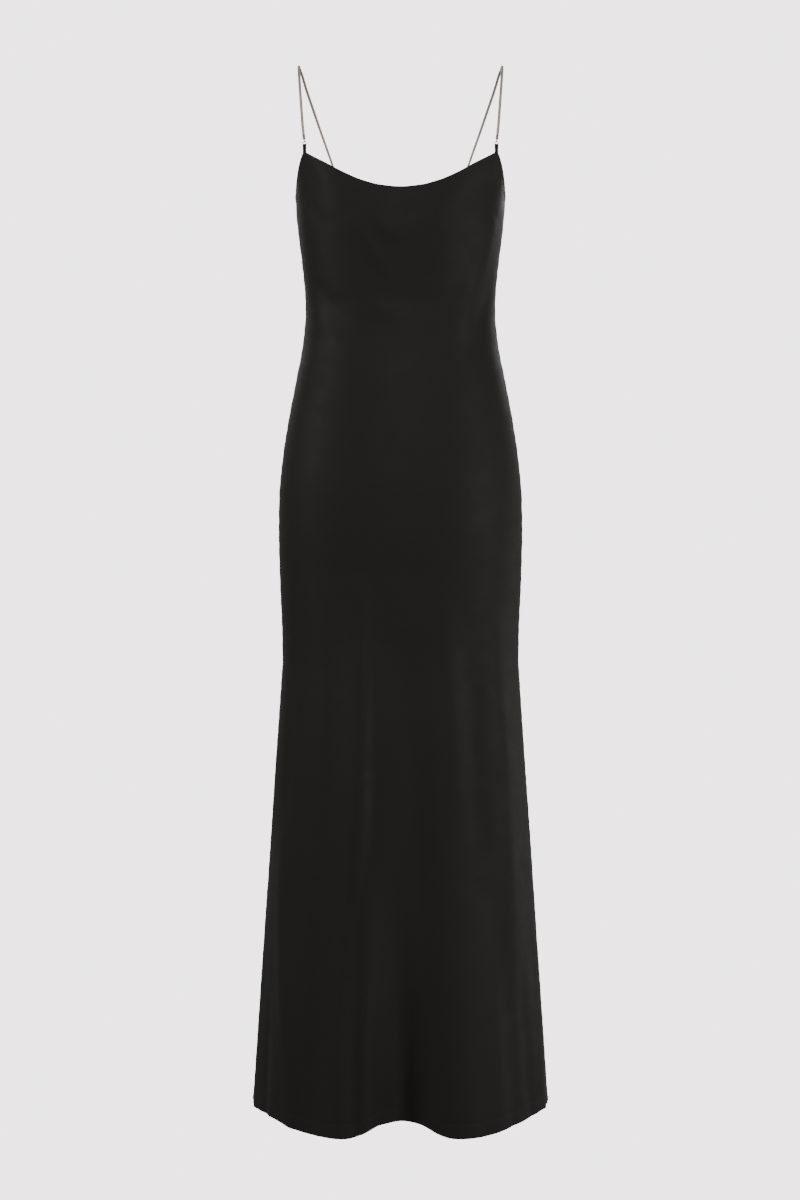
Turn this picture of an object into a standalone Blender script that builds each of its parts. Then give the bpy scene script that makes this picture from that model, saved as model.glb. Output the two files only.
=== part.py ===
"""A floor-length slip dress on fine chain straps, standing open as it is when worn.

Metres, +Z up, the front towards -Y and the wearer's left towards +X. The origin is the middle of the
line across the shoulders, where the straps rest. Two bias-cut panels meet at the side seams. Each is a
wall over rings read from SECTIONS, with the drape of FOLDS pressed into it. A strap is a flat snake
chain that hooks through a small ring in front and another behind, and a folded tab holds each ring.
"""

import math
from collections import namedtuple

import bmesh
import bpy
from mathutils import Vector

# Cloth
WALL = 0.0012
SEAM_GAP = 0.0004
EDGE_GAP = 0.0003
HEM_LEVEL = -1.443

# Rings, tabs and straps
RING_RADIUS = 0.0028
RING_WIRE = 0.0010
TAB_WIDTH = 0.0036
TAB_WALL = 0.0007
TAB_SLOT = 0.0018
HOOK_WIRE = 0.0007
HOOK_RADIUS = 0.00115
CHAIN_WIDTH = 0.0022
CHAIN_THICKNESS = 0.0015
ON_EDGE = math.radians(50.0)

# A ring's middle stands this far above the foot of its tab. Its axis keeps this share of the cloth's
# sideways slant, and the hook's open end starts at this angle, in degrees above the ring's axis.
RING_LIFT = 0.0121
RING_TURN = 0.4
HOOK_START = 95.0
# The two sides of a tab lie together up to this share of its height.
TAB_NECK = 0.35

# How finely the solids are faceted. Inner columns run from a panel's middle to its tab, outer ones on
# from there to the seam.
PANEL_ROWS = 36
FRONT_COLUMNS = {"inner": 11, "outer": 5}
BACK_COLUMNS = {"inner": 5, "outer": 8}
TUBE_SIDES = 8
RING_SEGMENTS = 16
RING_SIDES = 6
HOOK_SEGMENTS = 10
CHAIN_SEGMENTS = 40
TAB_STEPS = 8
SHARP_ANGLE = math.radians(40.0)

# Steps in degrees and in height over which a slope of the cloth is measured
TURN_STEP = 0.5
HEIGHT_STEP = 0.002

UP = Vector((0.0, 0.0, 1.0))

# A ring round the body at one height. Fullness squares the ring's corners, 0 for a plain ellipse.
Section = namedtuple("Section", "height half_width front_depth back_depth fullness")
SECTIONS = (
    Section(-0.100, 0.1640, 0.097, 0.094, 0.10),
    Section(-0.130, 0.1572, 0.100, 0.097, 0.10),
    Section(-0.160, 0.1500, 0.104, 0.100, 0.10),
    Section(-0.187, 0.1471, 0.106, 0.101, 0.10),
    Section(-0.215, 0.1451, 0.107, 0.100, 0.10),
    Section(-0.271, 0.1384, 0.102, 0.092, 0.10),
    Section(-0.299, 0.1352, 0.099, 0.087, 0.10),
    Section(-0.320, 0.1334, 0.097, 0.084, 0.10),
    Section(-0.345, 0.1328, 0.095, 0.081, 0.09),
    Section(-0.383, 0.1360, 0.096, 0.084, 0.08),
    Section(-0.439, 0.1462, 0.101, 0.096, 0.07),
    Section(-0.495, 0.1568, 0.106, 0.110, 0.06),
    Section(-0.551, 0.1652, 0.110, 0.121, 0.06),
    Section(-0.607, 0.1699, 0.112, 0.126, 0.06),
    Section(-0.649, 0.1705, 0.112, 0.126, 0.06),
    Section(-0.719, 0.1688, 0.111, 0.121, 0.06),
    Section(-0.803, 0.1654, 0.112, 0.115, 0.06),
    Section(-0.831, 0.1652, 0.114, 0.115, 0.06),
    Section(-0.861, 0.1669, 0.117, 0.117, 0.06),
    Section(-0.887, 0.1686, 0.120, 0.120, 0.06),
    Section(-1.165, 0.1874, 0.151, 0.152, 0.05),
    Section(-1.443, 0.2062, 0.186, 0.187, 0.04),
    Section(-1.470, 0.2080, 0.189, 0.190, 0.04),
)

# A point on an edge of a panel: turn is the angle in degrees round the ring, from the middle of the
# panel, with the side seams at SIDE_TURN.
SIDE_TURN = 90.0
EdgePoint = namedtuple("EdgePoint", "turn height")
NECKLINE = (
    EdgePoint(0.0, -0.1893),
    EdgePoint(10.0, -0.1868),
    EdgePoint(20.0, -0.1797),
    EdgePoint(30.0, -0.1684),
    EdgePoint(44.0, -0.1488),
    EdgePoint(56.2, -0.1332),
)
ARMHOLE = (
    EdgePoint(59.0, -0.1332),
    EdgePoint(64.0, -0.1422),
    EdgePoint(70.0, -0.1539),
    EdgePoint(76.0, -0.1672),
    EdgePoint(82.0, -0.1800),
    EdgePoint(90.0, -0.1860),
)
BACK_NECKLINE = (
    EdgePoint(0.0, -0.2330),
    EdgePoint(12.0, -0.2290),
    EdgePoint(25.6, -0.2150),
)
BACK_ARMHOLE = (
    EdgePoint(28.4, -0.2150),
    EdgePoint(45.0, -0.2120),
    EdgePoint(66.0, -0.1990),
    EdgePoint(90.0, -0.1860),
)
FRONT_HEM = (
    EdgePoint(-90.0, -1.4430),
    EdgePoint(-70.0, -1.4413),
    EdgePoint(-55.0, -1.4462),
    EdgePoint(-42.0, -1.4522),
    EdgePoint(-24.0, -1.4534),
    EdgePoint(-15.0, -1.4487),
    EdgePoint(-8.0, -1.4396),
    EdgePoint(0.0, -1.4382),
    EdgePoint(8.0, -1.4404),
    EdgePoint(15.0, -1.4498),
    EdgePoint(24.0, -1.4536),
    EdgePoint(42.0, -1.4520),
    EdgePoint(55.0, -1.4463),
    EdgePoint(70.0, -1.4415),
    EdgePoint(90.0, -1.4430),
)
BACK_HEM = (
    EdgePoint(-90.0, -1.4430),
    EdgePoint(-60.0, -1.4440),
    EdgePoint(-32.0, -1.4515),
    EdgePoint(-9.0, -1.4400),
    EdgePoint(20.0, -1.4515),
    EdgePoint(52.0, -1.4455),
    EdgePoint(90.0, -1.4430),
)

# A long soft fold of the skirt that grows from its start down to the hem, where its middle stands out
# by depth, or in where that is negative. Turn and spread are in degrees.
FOLD_GROWTH = 1.4
Fold = namedtuple("Fold", "start_turn hem_turn start_height depth spread")
FRONT_FOLDS = (
    Fold(3.0, 1.0, -0.84, -0.042, 11.0),
    Fold(-13.0, -24.0, -0.84, 0.006, 9.0),
    Fold(17.0, 25.0, -0.90, 0.006, 9.0),
    Fold(-40.0, -46.0, -1.08, -0.003, 9.0),
    Fold(38.0, 47.0, -1.02, -0.004, 10.0),
)
BACK_FOLDS = (
    Fold(-4.0, -8.0, -0.88, -0.034, 12.0),
    Fold(-20.0, -34.0, -0.92, 0.006, 10.0),
    Fold(14.0, 22.0, -0.88, 0.007, 11.0),
    Fold(34.0, 50.0, -1.00, -0.012, 11.0),
    Fold(-44.0, -58.0, -1.06, -0.010, 10.0),
)

# A stop on a strap, from the front ring over the shoulder to the back ring, on the wearer's left side.
Stop = namedtuple("Stop", "across back height")
STRAP_ROUTE = (
    Stop(0.1322, -0.0590, -0.1145),
    Stop(0.1341, -0.0565, -0.0980),
    Stop(0.1361, -0.0525, -0.0733),
    Stop(0.1383, -0.0470, -0.0443),
    Stop(0.1400, -0.0380, -0.0230),
    Stop(0.1412, -0.0225, -0.0085),
    Stop(0.1419, -0.0060, -0.0012),
    Stop(0.1412, 0.0095, -0.0022),
    Stop(0.1384, 0.0240, -0.0080),
    Stop(0.1333, 0.0410, -0.0235),
    Stop(0.1242, 0.0590, -0.0481),
    Stop(0.1148, 0.0710, -0.0741),
    Stop(0.1051, 0.0790, -0.1005),
    Stop(0.0945, 0.0855, -0.1300),
    Stop(0.0825, 0.0905, -0.1630),
    Stop(0.0712, 0.0935, -0.1955),
)


def smooth_curve(rows, mirrored=False):
    """A function through (position, value) rows that never swings past its neighbours."""
    if mirrored:
        rows = [(-at, value) for at, value in reversed(rows) if at > 0] + list(rows)
    rows = sorted(rows)
    steps = [b[0] - a[0] for a, b in zip(rows, rows[1:])]
    slopes = [(b[1] - a[1]) / step for a, b, step in zip(rows, rows[1:], steps)]
    bends = [slopes[0]]
    for before, after, near, far in zip(slopes, slopes[1:], steps, steps[1:]):
        if before * after <= 0:
            bends.append(0.0)
            continue
        first = 2 * far + near
        second = far + 2 * near
        bends.append((first + second) / (first / before + second / after))
    bends.append(slopes[-1])

    def value_at(position):
        last = len(steps) - 1
        index = min(last, max(0, sum(position >= row[0] for row in rows) - 1))
        step = steps[index]
        share = min(1.0, max(0.0, (position - rows[index][0]) / step))
        rest = 1 - share
        return (
            rows[index][1] * (1 + 2 * share) * rest**2
            + bends[index] * step * share * rest**2
            + rows[index + 1][1] * (3 - 2 * share) * share**2
            - bends[index + 1] * step * share**2 * rest
        )

    return value_at


def section_curve(column):
    return smooth_curve([(row.height, getattr(row, column)) for row in SECTIONS])


HALF_WIDTH = section_curve("half_width")
FRONT_DEPTH = section_curve("front_depth")
BACK_DEPTH = section_curve("back_depth")
FULLNESS = section_curve("fullness")


def fold_depth(folds, turn, height):
    """How far the drape stands out from the plain ring, at a turn in degrees."""
    depth = 0.0
    for fold in folds:
        grown = (fold.start_height - height) / (fold.start_height - HEM_LEVEL)
        if grown <= 0:
            continue
        middle = fold.start_turn + (fold.hem_turn - fold.start_turn) * min(grown, 1.0)
        across = (turn - middle) / fold.spread
        depth += fold.depth * grown**FOLD_GROWTH * math.exp(-across * across)
    return depth


def ring_point(facing, turn, height):
    """A point of the plain ring. Facing is -1 for the front and 1 for the back."""
    angle = math.radians(turn)
    deep = FRONT_DEPTH(height) if facing < 0 else BACK_DEPTH(height)
    square = 1 + FULLNESS(height) * math.sin(angle) ** 2
    return Vector((
        HALF_WIDTH(height) * math.sin(angle),
        facing * deep * math.cos(angle) * square,
        height,
    ))


def cloth_point(facing, folds, turn, height):
    """A point of the cloth's outer face: the plain ring, with the folds pushed along its normal."""
    around = ring_point(facing, turn + TURN_STEP, height) - ring_point(facing, turn - TURN_STEP, height)
    out = Vector((around.y, -around.x, 0.0)).normalized() * -facing
    return ring_point(facing, turn, height) + out * fold_depth(folds, turn, height)


def outward(facing, folds, turn, height):
    """The cloth's outward normal."""
    near = cloth_point(facing, folds, turn - TURN_STEP, height)
    far = cloth_point(facing, folds, turn + TURN_STEP, height)
    above = cloth_point(facing, folds, turn, height + HEIGHT_STEP)
    below = cloth_point(facing, folds, turn, height - HEIGHT_STEP)
    return (far - near).cross(below - above).normalized() * facing


def even_turns(start, end, count):
    return [start + (end - start) * step / count for step in range(count)]


def panel_turns(inner_rows, outer_rows, columns):
    """Turns of a panel's columns, with one on each corner of the flat that a tab is sewn to."""
    half = even_turns(0.0, inner_rows[-1].turn, columns["inner"]) + [inner_rows[-1].turn]
    half += even_turns(outer_rows[0].turn, SIDE_TURN, columns["outer"]) + [SIDE_TURN]
    return [-turn for turn in reversed(half[1:])] + half


def top_edge(inner_rows, outer_rows):
    """The height of a panel's top edge at a turn, the same on both sides of the middle."""
    inner = smooth_curve(inner_rows, mirrored=True)
    outer = smooth_curve(outer_rows)

    def height_at(turn):
        turn = abs(turn)
        if turn <= inner_rows[-1].turn:
            return inner(turn)
        return outer(max(turn, outer_rows[0].turn))

    return height_at


def principled(name, colour, roughness, metallic):
    material = bpy.data.materials.new(name)
    material.use_nodes = True
    shader = material.node_tree.nodes["Principled BSDF"]
    shader.inputs["Base Color"].default_value = (*colour, 1.0)
    shader.inputs["Roughness"].default_value = roughness
    shader.inputs["Metallic"].default_value = metallic
    return material


def add_object(name, shape, material):
    """A named object from a bmesh, with its faces turned outwards and shaded smooth."""
    bmesh.ops.recalc_face_normals(shape, faces=shape.faces)
    mesh = bpy.data.meshes.new(name)
    shape.to_mesh(mesh)
    shape.free()
    mesh.shade_smooth()
    mesh.set_sharp_from_angle(angle=SHARP_ANGLE)
    mesh.materials.append(material)
    made = bpy.data.objects.new(name, mesh)
    bpy.context.scene.collection.objects.link(made)
    return made


def add_panel(name, facing, folds, turns, top, hem, material):
    """One panel: a grid over the outer face, the same grid laid a wall further in, and a rim between."""
    columns = len(turns)
    outer = []
    inner = []
    for row in range(PANEL_ROWS + 1):
        for turn in turns:
            high = top(turn)
            height = high + (hem(turn) - high) * row / PANEL_ROWS
            point = cloth_point(facing, folds, turn, height)
            point.y += facing * SEAM_GAP / 2
            outer.append(point)
            inner.append(point - outward(facing, folds, turn, height) * WALL)

    shape = bmesh.new()
    outer = [shape.verts.new(point) for point in outer]
    inner = [shape.verts.new(point) for point in inner]
    for row in range(PANEL_ROWS):
        for column in range(columns - 1):
            start = row * columns + column
            corners = (start, start + 1, start + columns + 1, start + columns)
            shape.faces.new([outer[corner] for corner in corners])
            shape.faces.new([inner[corner] for corner in reversed(corners)])

    last = PANEL_ROWS * columns
    rim = list(range(columns))
    rim += [row * columns + columns - 1 for row in range(1, PANEL_ROWS + 1)]
    rim += [last + column for column in range(columns - 2, -1, -1)]
    rim += [row * columns for row in range(PANEL_ROWS - 1, 0, -1)]
    for here, following in zip(rim, rim[1:] + rim[:1]):
        shape.faces.new((outer[here], inner[here], inner[following], outer[following]))
    return add_object(name, shape, material)


def add_ring(name, middle, axis, material):
    """A round wire ring about an axis."""
    bpy.ops.mesh.primitive_torus_add(
        location=middle,
        rotation=UP.rotation_difference(axis).to_euler(),
        major_radius=RING_RADIUS,
        minor_radius=RING_WIRE / 2,
        major_segments=RING_SEGMENTS,
        minor_segments=RING_SIDES,
    )
    ring = bpy.context.object
    ring.name = name
    ring.data.name = name
    ring.data.shade_smooth()
    ring.data.materials.append(material)
    return ring


def ring_rise():
    """How far the ring's lowest stretch rises under half the width of the tab."""
    return RING_RADIUS - math.sqrt(RING_RADIUS**2 - (TAB_WIDTH / 2) ** 2)


def add_tab(name, foot, ring_middle, axis, material):
    """A strip folded up through the ring: a drop-shaped outline with a slot in it, as wide as the strip."""
    drop = ring_middle.z - RING_RADIUS + ring_rise() - foot.z
    slot = TAB_SLOT / 2
    outside = slot + TAB_WALL
    bend = [math.pi * step / TAB_STEPS for step in range(TAB_STEPS + 1)]
    outline = [(outside * math.cos(angle), drop + outside * math.sin(angle)) for angle in bend]
    outline += [(-TAB_WALL, drop * TAB_NECK), (-TAB_WALL, 0.0)]
    outline += [(TAB_WALL, 0.0), (TAB_WALL, drop * TAB_NECK)]
    hole = [(slot * math.cos(angle), drop + slot * math.sin(angle)) for angle in bend]
    hole += [(-slot, drop - slot), (-slot / 2, drop - 2 * slot)]
    hole += [(slot / 2, drop - 2 * slot), (slot, drop - slot)]

    across = UP.cross(axis)
    shape = bmesh.new()
    edges = []
    for loop in (outline, hole):
        start = foot - across * TAB_WIDTH / 2
        corners = [shape.verts.new(start + axis * out + UP * up) for out, up in loop]
        edges += [shape.edges.new(pair) for pair in zip(corners, corners[1:] + corners[:1])]
    bmesh.ops.triangle_fill(shape, use_beauty=True, edges=edges)
    pushed = bmesh.ops.extrude_face_region(shape, geom=shape.faces[:], use_keep_orig=True)
    moved = [item for item in pushed["geom"] if isinstance(item, bmesh.types.BMVert)]
    bmesh.ops.translate(shape, verts=moved, vec=across * TAB_WIDTH)
    return add_object(name, shape, material)


def hook(ring_middle, ring_axis, pull):
    """The wire at a strap's end: almost once round the ring, then up beside it towards the strap."""
    wire = ring_middle + pull * RING_RADIUS
    points = []
    for step in range(HOOK_SEGMENTS + 1):
        angle = math.radians(HOOK_START - (HOOK_START + 180.0) * step / HOOK_SEGMENTS)
        around = ring_axis * math.cos(angle) + pull * math.sin(angle)
        points.append(wire + around * HOOK_RADIUS)
    points.append(points[-1] + pull * HOOK_RADIUS)
    return points


def route_points(route, count):
    """Points read evenly along a smooth curve through the stops of a route."""
    ends = [route[0] * 2 - route[1]] + route + [route[-1] * 2 - route[-2]]
    points = []
    for step in range(count + 1):
        place = step / count * (len(route) - 1)
        index = min(int(place), len(route) - 2)
        share = place - index
        before, start, end, after = ends[index:index + 4]
        points.append(
            start
            + (end - before) * (share / 2)
            + (before * 2 - start * 5 + end * 4 - after) * (share**2 / 2)
            + (start * 3 - before - end * 3 + after) * (share**3 / 2)
        )
    return points


def add_strap(name, side, front_ring, back_ring, material):
    """A flat chain that lies flat on the shoulder, turns on edge behind, and hooks both rings."""
    route = [Vector((side * stop.across, stop.back, stop.height)) for stop in STRAP_ROUTE]
    chain = route_points(route, CHAIN_SEGMENTS)
    front = hook(front_ring.middle, front_ring.axis, front_ring.pull(chain[0]))
    back = hook(back_ring.middle, back_ring.axis, back_ring.pull(chain[-1]))
    points = front + chain + back[::-1]

    flat = Vector((side, 0.0, 0.0))
    on_edge = Vector((side * math.cos(ON_EDGE), -math.sin(ON_EDGE), 0.0))
    wide_axes = [UP.cross(front_ring.axis)] * len(front)
    for step in range(len(chain)):
        turned = max(0.0, 2 * step / CHAIN_SEGMENTS - 1)
        wide_axes.append(flat.lerp(on_edge, turned))
    wide_axes += [UP.cross(back_ring.axis)] * len(back)
    wide_axes = [axis if axis.x * side > 0 else -axis for axis in wide_axes]

    shape = bmesh.new()
    rings = []
    for index, point in enumerate(points):
        on_chain = len(front) <= index < len(front) + len(chain)
        width, thickness = (CHAIN_WIDTH, CHAIN_THICKNESS) if on_chain else (HOOK_WIRE, HOOK_WIRE)
        along = points[min(index + 1, len(points) - 1)] - points[max(index - 1, 0)]
        thick = along.cross(wide_axes[index]).normalized()
        wide = thick.cross(along).normalized()
        ring = []
        for number in range(TUBE_SIDES):
            angle = math.tau * number / TUBE_SIDES
            offset = wide * (math.cos(angle) * width / 2) + thick * (math.sin(angle) * thickness / 2)
            ring.append(shape.verts.new(point + offset))
        rings.append(ring)
    for ring, following in zip(rings, rings[1:]):
        for number in range(TUBE_SIDES):
            beside = (number + 1) % TUBE_SIDES
            shape.faces.new((ring[number], ring[beside], following[beside], following[number]))
    shape.faces.new(rings[0])
    shape.faces.new(rings[-1])
    return add_object(name, shape, material)


class Anchor:
    """Where a strap is sewn on: the foot of the tab on a panel's top edge, and the ring above it."""

    def __init__(self, facing, side, folds, turn, edge):
        height = edge(turn)
        out = outward(facing, folds, side * turn, height)
        self.foot = cloth_point(facing, folds, side * turn, height) - out * (WALL / 2)
        self.foot += UP * EDGE_GAP
        self.axis = Vector((out.x * RING_TURN, out.y, 0.0)).normalized()
        self.middle = self.foot + UP * RING_LIFT

    def pull(self, towards):
        """The direction in the ring's plane from its middle to the start of the strap."""
        away = towards - self.middle
        return (away - self.axis * away.dot(self.axis)).normalized()


def main():
    for existing in list(bpy.data.objects):
        bpy.data.objects.remove(existing)

    front_cloth = principled("black_crepe_front", (0.016, 0.0145, 0.0135), 0.50, 0.0)
    back_cloth = principled("black_crepe_back", (0.016, 0.0145, 0.0135), 0.50, 0.0)
    tab_cloth = principled("black_tab", (0.012, 0.011, 0.010), 0.60, 0.0)
    chain_metal = principled("taupe_chain", (0.36, 0.28, 0.21), 0.32, 1.0)
    ring_metal = principled("pale_gold_ring", (0.80, 0.72, 0.60), 0.22, 1.0)

    front_edge = top_edge(NECKLINE, ARMHOLE)
    back_edge = top_edge(BACK_NECKLINE, BACK_ARMHOLE)
    front_turns = panel_turns(NECKLINE, ARMHOLE, FRONT_COLUMNS)
    back_turns = panel_turns(BACK_NECKLINE, BACK_ARMHOLE, BACK_COLUMNS)
    front_hem = smooth_curve(FRONT_HEM)
    back_hem = smooth_curve(BACK_HEM)
    add_panel("front_panel", -1, FRONT_FOLDS, front_turns, front_edge, front_hem, front_cloth)
    add_panel("back_panel", 1, BACK_FOLDS, back_turns, back_edge, back_hem, back_cloth)

    front_turn = (NECKLINE[-1].turn + ARMHOLE[0].turn) / 2
    back_turn = (BACK_NECKLINE[-1].turn + BACK_ARMHOLE[0].turn) / 2
    for name, side in (("left", 1), ("right", -1)):
        front = Anchor(-1, side, FRONT_FOLDS, front_turn, front_edge)
        back = Anchor(1, side, BACK_FOLDS, back_turn, back_edge)
        for place, anchor in (("front", front), ("back", back)):
            add_ring(f"ring_{place}_{name}", anchor.middle, anchor.axis, ring_metal)
            add_tab(f"tab_{place}_{name}", anchor.foot, anchor.middle, anchor.axis, tab_cloth)
        add_strap(f"strap_{name}", side, front, back, chain_metal)


main()
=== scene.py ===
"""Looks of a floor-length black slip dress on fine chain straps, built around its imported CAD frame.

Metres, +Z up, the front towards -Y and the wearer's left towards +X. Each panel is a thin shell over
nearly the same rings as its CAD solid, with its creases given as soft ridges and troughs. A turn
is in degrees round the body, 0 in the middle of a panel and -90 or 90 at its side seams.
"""

import math
from collections import namedtuple

import bpy
import numpy as np
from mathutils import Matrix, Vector, noise


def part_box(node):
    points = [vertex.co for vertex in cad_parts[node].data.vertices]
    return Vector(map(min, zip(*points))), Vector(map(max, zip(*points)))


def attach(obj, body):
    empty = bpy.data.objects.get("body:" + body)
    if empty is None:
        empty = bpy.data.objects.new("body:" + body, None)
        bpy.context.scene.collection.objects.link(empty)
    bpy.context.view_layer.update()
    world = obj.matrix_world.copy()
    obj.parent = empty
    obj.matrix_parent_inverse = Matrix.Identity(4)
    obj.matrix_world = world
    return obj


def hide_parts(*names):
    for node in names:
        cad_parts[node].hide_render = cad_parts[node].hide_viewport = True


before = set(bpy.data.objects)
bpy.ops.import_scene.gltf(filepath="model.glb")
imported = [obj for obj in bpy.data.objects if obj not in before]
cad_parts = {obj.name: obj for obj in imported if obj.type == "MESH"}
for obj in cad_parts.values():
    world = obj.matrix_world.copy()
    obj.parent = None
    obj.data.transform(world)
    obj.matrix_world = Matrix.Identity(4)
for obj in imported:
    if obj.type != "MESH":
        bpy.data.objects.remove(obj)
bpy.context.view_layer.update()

# Camera and studio
CAMERA_PLACE = (-0.0007, -2.8, -0.7469)
CAMERA_LENS = 60.0
CAMERA_REACH = 100.0
FLOOR_LEVEL = -1.62
STUDIO_RADIUS = 6.4
STUDIO_BEND = 2.2
STUDIO_TOP = 3.6
STUDIO_SEGMENTS = 96
PAPER_COLOUR = (0.80, 0.735, 0.765, 1.0)
PAPER_GLOW = 4.58
AIR_COLOUR = (0.9, 0.92, 0.95, 1.0)
AIR_STRENGTH = 0.31
Lamp = namedtuple("Lamp", "name place target size power colour")
LAMPS = (
    Lamp("key_right", (2.75, -1.75, -0.30), (0.0, 0.0, -0.50), (1.2, 1.1), 42.0, (1.0, 0.98, 0.96)),
    Lamp("side_left", (-2.9, -1.05, 0.55), (0.0, 0.0, -0.35), (1.1, 1.2), 43.0, (1.0, 0.98, 0.96)),
    Lamp("side_right", (2.9, 1.10, -0.95), (0.0, 0.0, -0.75), (1.0, 1.2), 12.0, (1.0, 0.98, 0.97)),
    Lamp("front_fill", (0.0, -3.1, 0.8), (0.0, 0.0, -0.50), (1.6, 1.2), 33.0, (1.0, 0.98, 0.96)),
    Lamp("back_left", (-1.3, 2.5, 1.4), (0.0, 0.0, -0.60), (1.2, 1.4), 95.0, (1.0, 0.99, 0.97)),
    Lamp("back_right", (1.5, 2.5, 1.1), (0.0, 0.0, -0.70), (1.0, 1.4), 50.0, (0.98, 0.99, 1.0)),
)

# Texture coordinates are given in millimetres by this scale.
TO_MM = 1000.0

# Cloth: one layer, what a turned edge adds to it, and how far the edges are turned in
WALL = 0.0007
TURNING = 0.0006
TOP_TURNING = 0.0085
HEM_TURNING = 0.018
TURNING_STEP = 0.0003
HEM_LEVEL = -1.443

# Edges sharper than this, in degrees, are shaded as such.
SHARP_CLOTH = 60
SHARP_WIRE = 50

# Where a panel's points lie: turns beside a seam, and distances from the top edge and from the hem
SEAM_TURNS = [90.0, 89.8, 89.5, 89.0, 88.2]
MIDDLE_TURN = 87.0
MIDDLE_COLUMNS = 130
MIDDLE_ROWS = 300
TOP_STEPS = np.array([
    0.0001, 0.0003, 0.0007, 0.0015, 0.003, 0.005, 0.0072, 0.0082, 0.0085, 0.0089, 0.0096, 0.011, 0.013,
])
HEM_STEPS = np.array([
    0.024, 0.021, 0.0188, 0.0183, 0.018, 0.0175, 0.016, 0.012, 0.008, 0.004, 0.002, 0.001, 0.0004, 0.0001,
])

# Small lifts of the cloth's outer face, and how far from a seam or an edge they reach
SLACK = 0.0005
FINE_SLACK = 0.00012
SLACK_WAVES = (11, 11, 6)
FINE_WAVES = (34, 34, 19)
PUCKER = 0.00035
PUCKER_REACH = 0.010
PUCKER_WAVES = 290
SEAM_VALLEY = 0.0005
SEAM_VALLEY_WIDTH = 0.0011
HEM_WAVER = 0.00035
EDGE_REACH = 0.012
# The mark that the inner end of a turned edge leaves: its depth, and its place beyond the turning
Mark = namedtuple("Mark", "depth beyond width")
TOP_MARK = Mark(0.00012, 0.0006, 0.0012)
HEM_MARK = Mark(0.00018, 0.0008, 0.0016)

# A side seam's allowances, pressed open inside: where they start and end, and their air and waver
SEAM_TOP = -0.1875
SEAM_FOOT = -1.4415
SEAM_ROWS = 330
SEAM_ALLOWANCE = 0.008
SEAM_SHARES = np.array([-1.0, -0.75, -0.5, -0.2, 0.2, 0.5, 0.75, 1.0])
SEAM_LAYER = 0.0006
SEAM_AIR = 0.00045
SEAM_EDGE_WAVER = 0.0006
SEAM_EDGE_LIFT = 0.0004

# A row of stitches. Its inset is how far above its panel's top edge or hem it runs.
Stitch = namedtuple("Stitch", "edge inset tilt length pitch thread")
TOP_STITCH = Stitch("top", -0.0064, 0.0, 0.0019, 0.0027, 0.00032)
HEM_STITCH = Stitch("hem", 0.0176, 0.0016, 0.0022, 0.0058, 0.00030)
STITCH_TAPER = np.array([0.35, 0.9, 1.0, 0.9, 0.35])
STITCH_SIDES = 5
STITCH_SAMPLES = 900

# Chain: its outer size, a link's pitch and swelling, and how far its chevrons lean. The chain and the tabs
# are drawn wider than the CAD's, because thin dark things look thinner still against the bright paper.
CHAIN_WIDTH = 0.0039
CHAIN_THICKNESS = 0.0019
CHAIN_PITCH = 0.00115
CHAIN_SIDES = 12
LINK_SIZES = (0.96, 1.0, 1.01, 1.0)
CHEVRON_LEAN = 0.42
CHEVRON_SHIFT = 0.2
ON_EDGE = math.radians(70.0)
ROUTE_STEPS = 900
CAP_WIDTH = 0.0040
CAP_THICKNESS = 0.0026
CAP_REACH = np.array([
    -0.0016, -0.0014, -0.0010, -0.0002, *np.linspace(0.0007, 0.0034, 5), 0.0040, 0.0044, 0.0046,
])
CAP_SIZES = np.array([0.45, 0.72, 0.93, 1.0, 1.0, 0.97, 1.0, 0.97, 1.0, 1.0, 0.93, 0.82])

# Hooks and rings of wire: the open ends of a hook and of a ring, in degrees
HOOK_WIRE = 0.0007
HOOK_RADIUS = 0.00115
HOOK_ENDS = (95.0, -180.0)
RING_RADIUS = 0.0028
RING_WIRE = 0.0010
RING_ENDS = (222.0, 578.0)
RING_END_SIZE = 0.86

# Tabs: one side of the folded strip as (how far out, share of its rise), its loop round the ring's wire,
# and the stitches that tack its foot
TAB_WIDTH = 0.0046
TAB_FOOT_WIDTH = 0.0052
TAB_THICKNESS = 0.00062
TAB_LIFT = 0.00065
TAB_LOOP = 0.00125
TAB_END = (-0.00030, -0.0035)
TAB_SIDE = ((-0.00034, 0.0), (-0.00036, 0.25), (-0.00048, 0.45), (-0.00092, 0.72), (-0.00122, 0.9))
TACK_ROWS = ((0.0012, 0.0003), (0.0017, -0.0002))
TACK_REACH = 0.36
TACK_OUT = 0.00072
TACK_BOW = 0.00012
TACK_SIDES = 6
TACK_SIZES = 0.00026 * np.array([0.4, 0.9, 1.0, 1.0, 1.0, 0.9, 0.4])

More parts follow.
